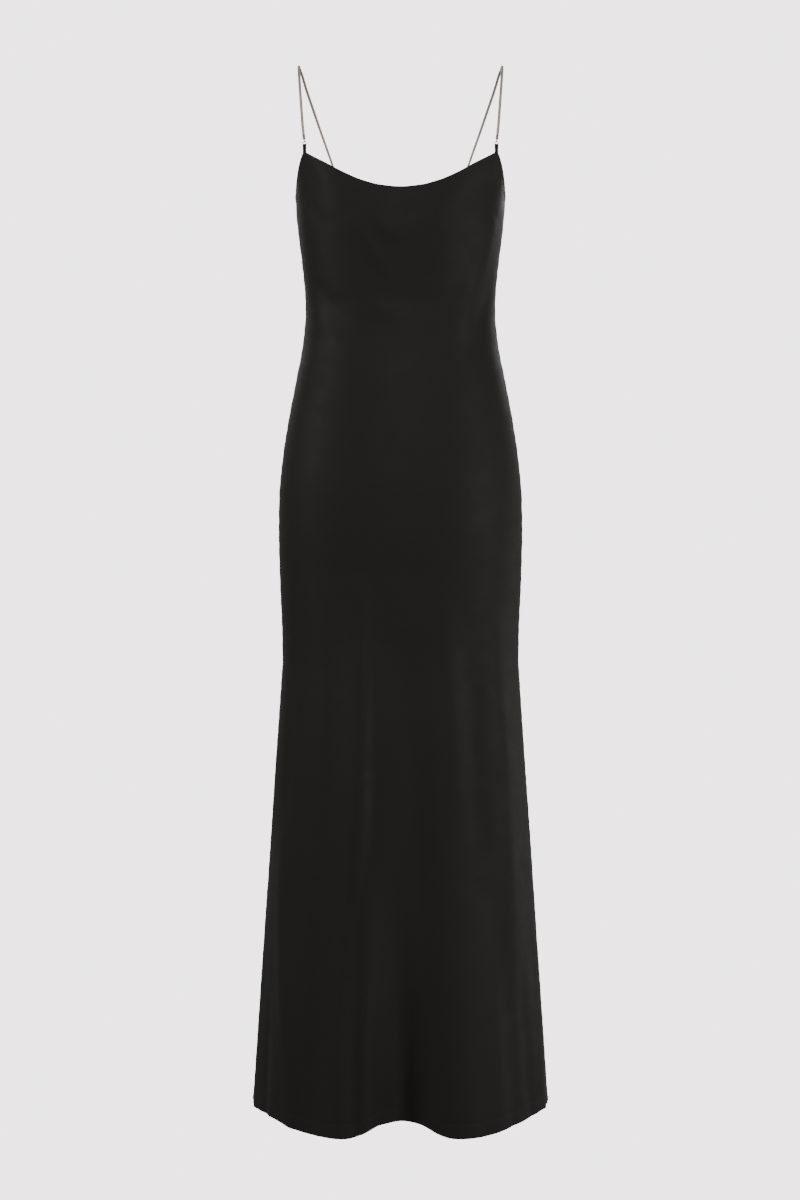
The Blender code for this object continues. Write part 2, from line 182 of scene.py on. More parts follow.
# Rings round the body, as in the CAD but for small changes near the knee, to follow the photo's outline.
# Fullness squares a ring's corners, 0 for a plain ellipse.
Section = namedtuple("Section", "height half_width front_depth back_depth fullness")
SECTIONS = [Section(*row) for row in (
    (-0.100, 0.1640, 0.097, 0.094, 0.10),
    (-0.130, 0.1572, 0.100, 0.097, 0.10),
    (-0.160, 0.1500, 0.104, 0.100, 0.10),
    (-0.187, 0.1471, 0.106, 0.101, 0.10),
    (-0.215, 0.1451, 0.107, 0.100, 0.10),
    (-0.271, 0.1384, 0.102, 0.092, 0.10),
    (-0.299, 0.1352, 0.099, 0.087, 0.10),
    (-0.320, 0.1334, 0.097, 0.084, 0.10),
    (-0.345, 0.1328, 0.095, 0.081, 0.09),
    (-0.383, 0.1360, 0.096, 0.084, 0.08),
    (-0.439, 0.1462, 0.101, 0.096, 0.07),
    (-0.495, 0.1568, 0.106, 0.110, 0.06),
    (-0.551, 0.1652, 0.110, 0.121, 0.06),
    (-0.607, 0.1699, 0.112, 0.126, 0.06),
    (-0.649, 0.1705, 0.112, 0.126, 0.06),
    (-0.719, 0.1688, 0.1112, 0.1205, 0.06),
    (-0.803, 0.1654, 0.1128, 0.1168, 0.06),
    (-0.831, 0.1652, 0.1146, 0.1165, 0.06),
    (-0.861, 0.1669, 0.1170, 0.1176, 0.06),
    (-0.887, 0.1686, 0.1197, 0.1195, 0.06),
    (-1.165, 0.1874, 0.151, 0.152, 0.05),
    (-1.443, 0.2062, 0.186, 0.187, 0.04),
    (-1.470, 0.2080, 0.189, 0.190, 0.04),
)]

# Edges of the panels as (turn, height). The hem follows the photo's, up to about 2 mm from the CAD's.
NECKLINE = (
    (0, -0.1893), (10, -0.1868), (20, -0.1797),
    (30, -0.1684), (44, -0.1488), (56.2, -0.1332),
)
ARMHOLE = (
    (59, -0.1332), (64, -0.1422), (70, -0.1539),
    (76, -0.1672), (82, -0.1800), (90, -0.1860),
)
BACK_NECKLINE = ((0, -0.2330), (12, -0.2290), (25.6, -0.2150))
BACK_ARMHOLE = ((28.4, -0.2150), (45, -0.2120), (66, -0.1990), (90, -0.1860))
FRONT_HEM = (
    (-90, -1.4418), (-70, -1.4438), (-55, -1.4461), (-42, -1.4530), (-35, -1.4548),
    (-24, -1.4530), (-18.5, -1.4524), (-15, -1.4488), (-8, -1.4396), (0, -1.4391),
    (8, -1.4406), (15, -1.4507), (20, -1.4543), (28, -1.4542), (42, -1.4515),
    (55, -1.4482), (62, -1.4461), (70, -1.4425), (90, -1.4430),
)
BACK_HEM = (
    (-90, -1.4418), (-60, -1.4440), (-32, -1.4515), (-9, -1.4400),
    (20, -1.4515), (52, -1.4455), (90, -1.4430),
)

# The skirt's large folds, as in the CAD but for an eased start. Each grows from its start down to the
# hem, where its middle stands out by depth, or in where that is negative.
FOLD_GROWTH = 1.4
FOLD_EASE = 0.06
Fold = namedtuple("Fold", "start_turn hem_turn start_height depth spread")
FRONT_FOLDS = (
    Fold(3.0, 1.0, -0.84, -0.042, 11.0),
    Fold(-13.0, -24.0, -0.84, 0.006, 9.0),
    Fold(17.0, 25.0, -0.90, 0.006, 9.0),
    Fold(-40.0, -46.0, -1.08, -0.003, 9.0),
    Fold(38.0, 47.0, -1.02, -0.004, 10.0),
)
BACK_FOLDS = (
    Fold(-4.0, -8.0, -0.88, -0.034, 12.0),
    Fold(-20.0, -34.0, -0.92, 0.006, 10.0),
    Fold(14.0, 22.0, -0.88, 0.007, 11.0),
    Fold(34.0, 50.0, -1.00, -0.012, 11.0),
    Fold(-44.0, -58.0, -1.06, -0.010, 10.0),
)

# A crease is a soft ridge, or a trough where its depth is negative. Each stop on it is (turn, height,
# depth in mm, half its breadth in mm), with a fifth number where its right flank has another breadth.
FRONT_CREASES = (
    # the long ridge down the skirt, gentle on one side and steep on the other, and the one beside its foot
    ((-18.4, -0.71, 0, 28, 14), (-18, -0.79, 4.4, 30, 12), (-17.4, -0.86, 8.8, 30, 10.5),
     (-17.2, -0.961, 11.2, 28, 10.5), (-17.4, -1.036, 11.2, 26, 10.5), (-19.2, -1.123, 9, 24, 10),
     (-21.6, -1.188, 7.8, 22, 9), (-22.4, -1.275, 7, 20, 8), (-21, -1.403, 6.2, 20, 7),
     (-20.6, -1.46, 5, 20, 7)),
    ((-12.6, -1.1, 0, 8, 14), (-13.6, -1.18, 3.4, 6, 13), (-14.2, -1.29, 6.4, 5, 13),
     (-13.6, -1.408, 6.4, 5, 13), (-13.2, -1.46, 5.2, 6, 13)),
    # the broad trough right of it and the faint ridge beyond
    ((3, -0.78, 0, 18, 20), (4.6, -0.86, -3, 18, 22), (6.5, -0.935, -5, 18, 24),
     (9.5, -1.06, -6.5, 20, 26), (12, -1.212, -6.5, 18, 24), (13, -1.332, -6, 16, 22),
     (13.8, -1.46, -4, 16, 22)),
    ((21, -0.73, 0, 16), (22.8, -0.824, 2.2, 16), (26, -0.96, 2.4, 18), (28, -1.06, 0, 18)),
    # left and right lower flutes
    ((-62, -1.03, 0, 20, 12), (-60, -1.13, 3, 20, 11), (-55.5, -1.232, 4.6, 20, 10),
     (-50.5, -1.327, 4.8, 20, 10), (-47.5, -1.391, 4.2, 20, 10), (-46.3, -1.46, 3.6, 20, 11)),
    ((-36, -1.12, 0, 16), (-35, -1.22, -2, 18), (-35, -1.34, -3, 18), (-35, -1.46, -3, 18)),
    ((54, -0.78, 0, 28, 26), (53, -0.88, 3.6, 34, 30), (52, -1.02, 6.4, 38, 32),
     (52, -1.14, 6.6, 38, 30), (51, -1.23, 3.2, 28, 24), (50, -1.3, 0, 20, 20)),
    ((33, -1.13, 0, 24, 20), (36, -1.2, 3.6, 26, 22), (38, -1.265, 5.6, 28, 22),
     (39, -1.34, 6, 30, 22), (39.5, -1.4, 5.6, 30, 22), (40, -1.46, 4.8, 30, 22)),
    ((58, -1.23, 0, 14), (59, -1.33, -2.6, 15), (60, -1.46, -3.4, 15)),
    ((76.5, -1.16, 0, 12), (75, -1.29, 2.6, 13), (72, -1.397, 3.6, 13), (71, -1.46, 3.2, 14)),
    ((-80, -1.15, 0, 12), (-78, -1.27, 2, 12), (-76, -1.38, 2.8, 13), (-75, -1.46, 2.6, 13)),
    ((-66, -1.27, 0, 10), (-65, -1.36, -2.2, 11), (-64, -1.46, -2.8, 12)),
    # bust: pull from the strap feet and the soft slack under the neckline
    ((-54.5, -0.137, 0.8, 9), (-47, -0.156, 2.8, 17), (-39, -0.182, 3.4, 23), (-28, -0.216, 0, 24)),
    ((57, -0.136, 0.8, 8), (55, -0.158, 1.4, 12), (52, -0.19, 1, 15), (48, -0.22, 0, 17)),
    ((70, -0.158, 0, 12), (54, -0.182, -2.2, 17), (40, -0.21, -2.2, 19), (26, -0.245, 0, 18)),
    ((-70, -0.185, 0, 11), (-62, -0.2, -1.2, 13), (-52, -0.225, -1.4, 14), (-40, -0.252, 0, 15)),
    ((-31, -0.212, 0, 8), (-24, -0.242, 1.2, 8), (-15.5, -0.277, 1.2, 8), (-8, -0.308, 0, 9)),
    ((-14, -0.226, 0, 8), (-7, -0.247, 1.1, 8), (2.5, -0.267, 0, 8)),
    ((-6, -0.212, 0, 14), (6, -0.222, -1.2, 15), (19, -0.214, 0, 14)),
    # waist: drag lines from the sides
    ((64, -0.216, 0, 14), (60, -0.242, 2.8, 17), (53, -0.29, 3.8, 18), (43, -0.342, 2.6, 18),
     (28, -0.42, 0, 18)),
    ((72, -0.3, 0, 10), (64, -0.33, -1.2, 12), (52, -0.378, -1.6, 13), (38, -0.43, 0, 15)),
    ((-64, -0.306, 0, 12), (-52.8, -0.327, -2, 13), (-39.8, -0.355, -2, 14), (-24, -0.392, 0, 15)),
    ((-76, -0.34, 0, 10), (-64, -0.355, 0.9, 11), (-50, -0.375, 1.2, 13), (-36, -0.4, 0, 14)),
    ((-30, -0.33, 0, 14), (-12, -0.352, 1, 16), (10, -0.364, 0.9, 16), (28, -0.352, 0, 14)),
    # hip and thigh: long shallow unevenness
    ((-46, -0.7, 0, 20), (-41, -0.8, 1.6, 20), (-39, -0.93, 2, 19), (-40, -1.06, 0, 18)),
    ((44, -0.66, 0, 20), (47, -0.77, 1.6, 20), (50, -0.89, 1.8, 20), (56, -1.04, 0, 18)),
    ((33, -0.8, 0, 14), (34, -0.9, -1.8, 15), (35, -1.01, -2.2, 15), (36, -1.11, 0, 14)),
    ((-66, -0.8, 0, 16), (-63, -0.88, -1.4, 16), (-61, -0.98, -1.8, 16), (-64, -1.08, 0, 15)),
    ((-80, -0.9, 0, 13), (-79, -1, 1.4, 13), (-80, -1.12, 0, 12)),
)
BACK_CREASES = (
    # skirt flutes, the deepest beside the middle fold
    ((9.5, -0.79, 0, 13), (8.8, -0.88, 3.8, 11), (7.5, -1, 6.1, 10), (8.5, -1.15, 7, 10),
     (11, -1.3, 6.4, 11), (10.5, -1.46, 5.5, 12)),
    ((-17, -0.83, 0, 13), (-18, -0.94, 4.1, 11), (-20.5, -1.09, 6.4, 10), (-24, -1.26, 6.7, 11),
     (-24.5, -1.46, 5.8, 12)),
    ((-29.5, -1.06, 0, 7), (-31, -1.17, -4.1, 7), (-33, -1.3, -5.5, 8), (-33, -1.46, -4.6, 9)),
    ((17, -0.98, 0, 8), (17.5, -1.08, -3.5, 8), (19.5, -1.22, -4.9, 8), (19, -1.38, -3.8, 9),
     (18, -1.46, -2.3, 10)),
    ((25.5, -0.9, 0, 13), (27, -1.02, 3.5, 12), (29.5, -1.16, 5.2, 11), (30, -1.3, 4.9, 12),
     (29, -1.46, 4.3, 12)),
    ((35.5, -1, 0, 12), (36.5, -1.11, -3.8, 12), (38, -1.25, -4.9, 12), (38, -1.46, -4.3, 12)),
    ((50, -1.06, 0, 12), (50.5, -1.16, 4.3, 11), (50, -1.29, 6.7, 11), (48, -1.46, 6.1, 12)),
    ((60, -1.14, 0, 10), (61, -1.24, -3.5, 10), (61, -1.46, -4.6, 11)),
    ((72, -0.98, 0, 13), (73, -1.1, 3.5, 13), (73, -1.24, 5.2, 13), (72, -1.46, 4.9, 14)),
    ((-41.5, -1, 0, 12), (-42.5, -1.12, 4.1, 11), (-43.5, -1.27, 6.1, 11), (-44, -1.46, 5.8, 12)),
    ((-53, -1.12, 0, 10), (-54, -1.22, -3.8, 10), (-55, -1.34, -5.2, 11), (-55, -1.46, -4.6, 11)),
    ((-66, -1.04, 0, 13), (-67, -1.16, 3.8, 12), (-67.5, -1.3, 5.8, 12), (-67, -1.46, 5.5, 13)),
    ((-79, -1.18, 0, 10), (-79.5, -1.3, -3.2, 10), (-79, -1.46, -3.8, 11)),
    # seat and thigh
    ((-30, -0.64, 0, 20), (-22, -0.72, 1.8, 20), (-16, -0.82, 1.8, 18), (-14, -0.9, 0, 15)),
    ((36, -0.68, 0, 20), (32, -0.78, 1.8, 18), (28, -0.88, 1.6, 15), (26, -0.96, 0, 13)),
    ((-12, -0.7, 0, 14), (0, -0.722, -2, 15), (14, -0.704, 0, 14)),
    ((-20, -0.668, 0, 11), (-4, -0.688, 1.3, 12), (16, -0.672, 0, 11)),
    ((52, -0.76, 0, 16), (50, -0.87, -1.8, 16), (51, -0.97, -1.6, 15), (51, -1.04, 0, 13)),
    ((-38, -0.78, 0, 15), (-37, -0.88, -2, 15), (-35, -0.99, -2.2, 14), (-33, -1.06, 0, 12)),
    ((-56, -0.82, 0, 15), (-57, -0.93, 1.6, 15), (-56, -1.06, 0, 14)),
    # small of the back: slack lying across
    ((-58, -0.33, 0, 10), (-34, -0.352, 2.2, 11), (-6, -0.366, 2.8, 11), (22, -0.358, 2, 11),
     (46, -0.338, 0, 10)),
    ((-44, -0.38, 0, 9), (-18, -0.396, -2.2, 10), (10, -0.401, -2.4, 10), (40, -0.386, 0, 10)),
    ((-30, -0.424, 0, 10), (-4, -0.436, 1.5, 11), (24, -0.428, 0, 11)),
    ((-26, -0.322, 0, 8), (-4, -0.334, -1.8, 9), (20, -0.326, 0, 8)),
    ((-72, -0.3, 0, 11), (-58, -0.286, 1.6, 11), (-40, -0.27, 1.4, 12), (-24, -0.262, 0, 12)),
    ((74, -0.292, 0, 11), (60, -0.276, 1.7, 11), (42, -0.262, 1.4, 12), (28, -0.258, 0, 12)),
    ((-70, -0.42, 0, 12), (-52, -0.448, 1.6, 13), (-34, -0.486, 0, 14)),
    ((72, -0.412, 0, 12), (56, -0.44, -1.6, 13), (38, -0.482, 0, 14)),
    # under the strap feet
    ((27, -0.217, 0.9, 8), (33, -0.24, 1.3, 12), (42, -0.268, 0, 15)),
    ((-27, -0.217, 0.9, 8), (-31, -0.242, 1.4, 12), (-36, -0.275, 0, 15)),
)

# The left strap's route as (across, back, height), from its front ring over the shoulder to the back one
STRAP_ROUTE = (
    (0.1322, -0.0590, -0.1145), (0.1341, -0.0565, -0.0980), (0.1361, -0.0525, -0.0733),
    (0.1383, -0.0470, -0.0443), (0.1400, -0.0380, -0.0230), (0.1412, -0.0225, -0.0085),
    (0.1419, -0.0060, -0.0012), (0.1412, 0.0095, -0.0022), (0.1384, 0.0240, -0.0080),
    (0.1333, 0.0410, -0.0235), (0.1242, 0.0590, -0.0481), (0.1148, 0.0710, -0.0741),
    (0.1051, 0.0790, -0.1005), (0.0945, 0.0855, -0.1300), (0.0825, 0.0905, -0.1630),
    (0.0712, 0.0935, -0.1955),
)


def smooth_curve(rows):
    """A function of an array through (position, value) rows that never swings past its neighbours."""
    at, value = np.array(sorted(rows), float).T
    step = np.diff(at)
    slope = np.diff(value) / step
    bend = np.zeros(len(at))
    bend[0] = slope[0]
    bend[-1] = slope[-1]
    for index in range(1, len(at) - 1):
        before = slope[index - 1]
        after = slope[index]
        if before * after > 0:
            first = 2 * step[index] + step[index - 1]
            second = step[index] + 2 * step[index - 1]
            bend[index] = (first + second) / (first / before + second / after)

    def value_at(position):
        index = np.clip(np.searchsorted(at, position, side="right") - 1, 0, len(step) - 1)
        length = step[index]
        share = np.clip((position - at[index]) / length, 0.0, 1.0)
        rest = 1 - share
        return (
            value[index] * (1 + 2 * share) * rest**2
            + bend[index] * length * share * rest**2
            + value[index + 1] * (3 - 2 * share) * share**2
            - bend[index + 1] * length * share**2 * rest
        )

    return value_at


def section_curve(column):
    return smooth_curve([(row.height, getattr(row, column)) for row in SECTIONS])


HALF_WIDTH = section_curve("half_width")
FRONT_DEPTH = section_curve("front_depth")
BACK_DEPTH = section_curve("back_depth")
FULLNESS = section_curve("fullness")


def top_edge(inner_rows, outer_rows):
    """A panel's top edge, the same on both sides: the neckline in the middle and an armhole beyond it."""
    inner = smooth_curve([(-turn, height) for turn, height in inner_rows if turn > 0] + list(inner_rows))
    outer = smooth_curve(outer_rows)

    def height_at(turn):
        turn = np.abs(turn)
        beyond = outer(np.maximum(turn, outer_rows[0][0]))
        return np.where(turn <= inner_rows[-1][0], inner(turn), beyond)

    return height_at


# A half of the dress. Facing is -1 for the front and 1 for the back.
Panel = namedtuple("Panel", "facing folds creases depth top hem")
FRONT = Panel(
    -1, FRONT_FOLDS, FRONT_CREASES, FRONT_DEPTH, top_edge(NECKLINE, ARMHOLE), smooth_curve(FRONT_HEM)
)
BACK = Panel(
    1, BACK_FOLDS, BACK_CREASES, BACK_DEPTH, top_edge(BACK_NECKLINE, BACK_ARMHOLE), smooth_curve(BACK_HEM)
)


def spare_ends(stops):
    """Stops with one more at each end, straight on."""
    return np.vstack([2 * stops[0] - stops[1], stops, 2 * stops[-1] - stops[-2]])


def between(ends, index, share):
    """A point on the smooth line between a stop and the next, among stops with spare ends."""
    before, start, end, after = ends[index:index + 4]
    return (
        start + (end - before) * (share / 2)
        + (before * 2 - start * 5 + end * 4 - after) * (share**2 / 2)
        + (start * 3 - before - end * 3 + after) * (share**3 / 2)
    )


def route_points(stops, count):
    """Count + 1 points along the smooth line through the stops."""
    ends = spare_ends(np.array(stops))
    points = []
    for step in range(count + 1):
        place = step / count * (len(stops) - 1)
        index = min(int(place), len(stops) - 2)
        points.append(between(ends, index, place - index))
    return np.array(points)


def crease_path(stops, count=6):
    """A crease as count short even steps between each stop and the next, along a smooth line."""
    stops = np.array([stop if len(stop) == 5 else (*stop, stop[3]) for stop in stops], float)
    ends = spare_ends(stops)
    shares = np.arange(count) / count
    path = [between(ends, index, share) for index in range(len(stops) - 1) for share in shares]
    return np.array([*path, stops[-1]])


def run_along(points):
    """The distance from the start of a line, or of each row of a grid, to each of its points."""
    steps = np.linalg.norm(np.diff(points, axis=-2), axis=-1)
    return np.concatenate([np.zeros_like(steps[..., :1]), np.cumsum(steps, axis=-1)], axis=-1)


def points_at(at, run, points):
    return np.stack([np.interp(at, run, points[:, axis]) for axis in range(3)], axis=-1)


def directions(path):
    along = np.gradient(path, axis=0)
    return along / np.linalg.norm(along, axis=1, keepdims=True)


def arc(middle, radius, angle, first, second):
    """Points round a middle, at angles from the first direction towards the second."""
    return middle + radius * (np.cos(angle)[:, None] * first + np.sin(angle)[:, None] * second)


def noises(places):
    return np.array([noise.noise(Vector(place)) for place in places])


def bell(distance, width):
    return np.exp(-(distance / width) ** 2)


def ring_point(panel, turn, height):
    """A point of the plain ring, without folds or creases."""
    angle = np.radians(turn)
    square = 1 + FULLNESS(height) * np.sin(angle) ** 2
    return np.stack([
        HALF_WIDTH(height) * np.sin(angle),
        panel.facing * panel.depth(height) * np.cos(angle) * square,
        height + 0.0 * angle,
    ], axis=-1)


def fold_depth(folds, turn, height):
    """How far the large folds lift the cloth from the plain ring."""
    depth = np.zeros(np.broadcast(turn, height).shape)
    for fold in folds:
        grown = (fold.start_height - height) / (fold.start_height - HEM_LEVEL)
        grown = (grown + np.sqrt(grown**2 + FOLD_EASE**2)) / 2
        middle = fold.start_turn + (fold.hem_turn - fold.start_turn) * np.minimum(grown, 1.0)
        across = (turn - middle) / fold.spread
        depth = depth + fold.depth * grown**FOLD_GROWTH * np.exp(-across * across)
    return depth


def spread_flat(turn, height):
    """Rough distance in metres round the body and up it, in which creases are measured."""
    round_body = np.radians(turn) * (HALF_WIDTH(height) * 0.55 + FRONT_DEPTH(height) * 0.45)
    return round_body, height


def crease_depth(creases, turn, height):
    """How far the creases lift the cloth. Each acts by the nearest place on its line, and they add up."""
    across, up = spread_flat(turn, height)
    total = np.zeros(across.shape)
    for stops in creases:
        path = crease_path(stops)
        path_across, path_up = spread_flat(path[:, 0], path[:, 1])
        nearest = np.full(across.shape, np.inf)
        held = np.ones((3, *across.shape))
        beside = np.zeros(across.shape)
        for index in range(len(path) - 1):
            start = (path_across[index], path_up[index])
            along = (path_across[index + 1] - start[0], path_up[index + 1] - start[1])
            length = along[0] ** 2 + along[1] ** 2
            share = ((across - start[0]) * along[0] + (up - start[1]) * along[1]) / length
            share = np.clip(share, 0.0, 1.0)
            away = (across - start[0] - share * along[0]) ** 2 + (up - start[1] - share * along[1]) ** 2
            closer = away < nearest
            nearest = np.where(closer, away, nearest)
            ends = zip(path[index, 2:], path[index + 1, 2:])
            here = [first + share * (last - first) for first, last in ends]
            held = np.where(closer, here, held)
            side = (across - start[0]) * -along[1] + (up - start[1]) * along[0]
            beside = np.where(closer, side, beside)
        depth, left, right = held
        breadth = np.where(beside < 0, left, right)
        total += depth / 1000 * np.exp(-nearest / (breadth / 1000) ** 2)
    return total


def cloth_points(panel, turn, height):
    """Points of a panel's outer face at arrays of turns and heights."""
    step = 0.5
    beside = ring_point(panel, turn + step, height) - ring_point(panel, turn - step, height)
    out = np.stack([beside[..., 1], -beside[..., 0], 0.0 * beside[..., 0]], axis=-1)
    out *= -panel.facing / np.linalg.norm(out, axis=-1, keepdims=True)
    lift = fold_depth(panel.folds, turn, height) + crease_depth(panel.creases, turn, height)
    return ring_point(panel, turn, height) + out * lift[..., None]


def cloth_normals(panel, turn, height):
    """Outward normals of the cloth with its creases."""
    turn_step = 0.4
    height_step = 0.0015
    across = cloth_points(panel, turn + turn_step, height) - cloth_points(panel, turn - turn_step, height)
    down = cloth_points(panel, turn, height - height_step) - cloth_points(panel, turn, height + height_step)
    normal = np.cross(across, down) * panel.facing
    return normal / np.linalg.norm(normal, axis=-1, keepdims=True)


def edge_distances(panel, turn, height):
    """How far below the top edge and above the hem."""
    return panel.top(turn) - height, height - panel.hem(turn)


def wall_at(panel, turn, height):
    """Thickness of a panel: one layer of cloth, and two where the top edge and the hem are turned in."""
    below_top, above_hem = edge_distances(panel, turn, height)
    top_band = np.clip((TOP_TURNING - below_top) / TURNING_STEP, 0.0, 1.0)
    hem_band = np.clip((HEM_TURNING - above_hem) / TURNING_STEP, 0.0, 1.0)
    return WALL + TURNING * np.maximum(top_band, hem_band)


def edge_mark(mark, distance, turning):
    return -mark.depth * bell(distance - turning - mark.beyond, mark.width)


def surface_relief(panel, turn, height, points):
    """Small lifts of the outer face: slack, puckers beside the seams, and the marks of turned edges."""
    flat = points.reshape(-1, 3)
    slack = noises(flat * SLACK_WAVES) * SLACK + noises(flat * FINE_WAVES + (7, 0, 0)) * FINE_SLACK
    slack = slack.reshape(turn.shape)
    waver = noises((panel.facing * 3.0, z * 23, x) for x, _, z in flat).reshape(turn.shape)
    near_seam = np.radians(90.0 - np.abs(turn)) * panel.depth(height)
    pucker = PUCKER * np.sin(height * PUCKER_WAVES + waver * 6) * np.exp(-near_seam / PUCKER_REACH)
    valley = -SEAM_VALLEY * bell(near_seam, SEAM_VALLEY_WIDTH)
    below_top, above_hem = edge_distances(panel, turn, height)
    marks = edge_mark(TOP_MARK, below_top, TOP_TURNING) + edge_mark(HEM_MARK, above_hem, HEM_TURNING)
    hem_waver = HEM_WAVER * np.sin(turn * 0.9 + waver * 4) * np.exp(-above_hem / EDGE_REACH)
    fade = np.clip(np.minimum(below_top, above_hem) / EDGE_REACH, 0.0, 1.0)
    return slack * fade + pucker + valley + marks + hem_waver


def roll(distance, radius):
    """How far a face curls in where the cloth turns over an edge."""
    left = np.clip(1 - distance / radius, 0.0, 0.85)
    return radius * (1 - np.sqrt(1 - left**2))


def add_object(name, data):
    made = bpy.data.objects.new(name, data)
    bpy.context.scene.collection.objects.link(made)
    return made


def mesh_object(name, points, faces, materials, material_index=None, uv=None, sharp=None):
    mesh = bpy.data.meshes.new(name)
    mesh.from_pydata(points, [], faces)
    for material in materials:
        mesh.materials.append(material)
    if material_index is not None:
        mesh.polygons.foreach_set("material_index", np.array(material_index, dtype=np.int32))
    if uv is not None:
        corner = np.zeros(len(mesh.loops), dtype=np.int32)
        mesh.loops.foreach_get("vertex_index", corner)
        layer = mesh.uv_layers.new(name="cloth")
        layer.data.foreach_set("uv", np.asarray(uv, dtype=np.float32)[corner].ravel())
    mesh.shade_smooth()
    if sharp is not None:
        mesh.set_sharp_from_angle(angle=math.radians(sharp))
    mesh.validate()
    return add_object(name, mesh)


def shell(name, outer, inner, uv, materials, flip):
    """A closed solid between two grids of points, with a rim. Material 0 is outside, 1 inside."""
    rows, columns = outer.shape[:2]
    number = np.arange(rows * columns).reshape(rows, columns)
    quads = np.stack([number[:-1, :-1], number[:-1, 1:], number[1:, 1:], number[1:, :-1]], axis=-1)
    quads = quads.reshape(-1, 4)
    total = rows * columns
    rim = [*number[0], *number[1:, -1], *number[-1, -2::-1], *number[-2:0:-1, 0]]
    edge = [
        (here, here + total, following + total, following)
        for here, following in zip(rim, rim[1:] + rim[:1])
    ]
    faces = [tuple(quad) for quad in quads] + [tuple(quad[::-1] + total) for quad in quads] + edge
    if flip:
        faces = [face[::-1] for face in faces]
    index = [0] * len(quads) + [1] * len(quads) + [0] * len(edge)
    points = np.concatenate([outer, inner]).reshape(-1, 3)
    uv = np.concatenate([uv, uv]).reshape(-1, 2)
    return mesh_object(name, points.tolist(), faces, materials, index, uv, sharp=SHARP_CLOTH)


def make_panel(name, panel, materials):
    """A panel as a thin shell, rolled over at its top and hem and drawn in at the seams."""
    middle = np.linspace(-MIDDLE_TURN, MIDDLE_TURN, MIDDLE_COLUMNS)
    turn = np.array([-value for value in SEAM_TURNS] + list(middle) + SEAM_TURNS[::-1])
    top = panel.top(turn)
    hem = panel.hem(turn)
    share = np.linspace(0.0, 1.0, MIDDLE_ROWS + 2)[1:-1, None]
    body = (top - TOP_STEPS[-1]) * (1 - share) + (hem + HEM_STEPS[0]) * share
    height = np.vstack([top - TOP_STEPS[:, None], body, hem + HEM_STEPS[:, None]])
    turn = np.broadcast_to(turn, height.shape)

    outer = cloth_points(panel, turn, height)
    normal = cloth_normals(panel, turn, height)
    outer = outer + normal * surface_relief(panel, turn, height, outer)[..., None]
    curl = roll(np.minimum(*edge_distances(panel, turn, height)), (WALL + TURNING) / 2)
    inner = outer - normal * (wall_at(panel, turn, height) - curl)[..., None]
    outer = outer - normal * curl[..., None]

    along = run_along(outer)
    along = along - along[:, along.shape[1] // 2][:, None]
    uv = np.stack([along, height], axis=-1)
    return shell(name, outer, inner, uv, materials, flip=panel.facing < 0)


def make_seam(name, side, material):
    """The seam allowances pressed open inside a side seam, as one strip on the inner faces."""
    height = np.linspace(SEAM_TOP, SEAM_FOOT, SEAM_ROWS)
    steps = SEAM_SHARES * SEAM_ALLOWANCE
    outer = []
    inner = []
    for step in steps:
        panel = FRONT if step < 0 else BACK
        at_edge = abs(step) > SEAM_ALLOWANCE * 0.9
        near_edge = abs(step) > SEAM_ALLOWANCE * 0.7
        waver = noises((step * 900, z * 31, side) for z in height)
        reach = abs(step) + waver * SEAM_EDGE_WAVER * at_edge
        turn = side * (90.0 - np.degrees(reach / panel.depth(height)))
        base = cloth_points(panel, turn, height)
        normal = cloth_normals(panel, turn, height)
        lift = wall_at(panel, turn, height) + SEAM_AIR + SEAM_EDGE_LIFT * waver * near_edge
        outer.append(base - normal * lift[:, None])
        inner.append(base - normal * (lift + SEAM_LAYER)[:, None])
    outer = np.stack(outer, axis=1)
    inner = np.stack(inner, axis=1)
    uv = np.stack(np.broadcast_arrays(steps[None, :], height[:, None]), axis=-1)
    return shell(name, outer, inner, uv, [material, material], flip=side > 0)


def tube_faces(rings, sides, start=0):
    """Faces along a tube of rings of points, with its ends shut."""
    faces = []
    for row in range(rings - 1):
        here = start + row * sides
        following = here + sides
        for side in range(sides):
            beside = (side + 1) % sides
            faces.append((here + side, here + beside, following + beside, following + side))
    last = start + (rings - 1) * sides
    faces.append(tuple(range(start, start + sides))[::-1])
    faces.append(tuple(range(last, last + sides)))
    return faces


def tube_points(path, wide, width, thick, sides, power):
    """Rings of points along a path. Wide is the direction of their width; power 1 gives an oval section."""
    path = np.asarray(path, float)
    count = len(path)
    along = directions(path)
    wide = np.broadcast_to(np.asarray(wide, float), path.shape)
    deep = np.cross(along, wide)
    deep /= np.linalg.norm(deep, axis=1, keepdims=True)
    wide = np.cross(deep, along)
    angle = np.arange(sides) * math.tau / sides
    cos = np.sign(np.cos(angle)) * np.abs(np.cos(angle)) ** power
    sin = np.sign(np.sin(angle)) * np.abs(np.sin(angle)) ** power
    width = np.broadcast_to(width, count)[:, None, None] / 2
    thick = np.broadcast_to(thick, count)[:, None, None] / 2
    points = path[:, None] + wide[:, None] * cos[None, :, None] * width
    return points + deep[:, None] * sin[None, :, None] * thick


def sweep(name, path, wide, width, thick, sides, power, material):
    """A solid drawn along a path, with rings of points as in tube_points."""
    points = tube_points(path, wide, width, thick, sides, power)
    faces = tube_faces(len(points), sides)
    return mesh_object(name, points.reshape(-1, 3).tolist(), faces, [material], sharp=SHARP_WIRE)


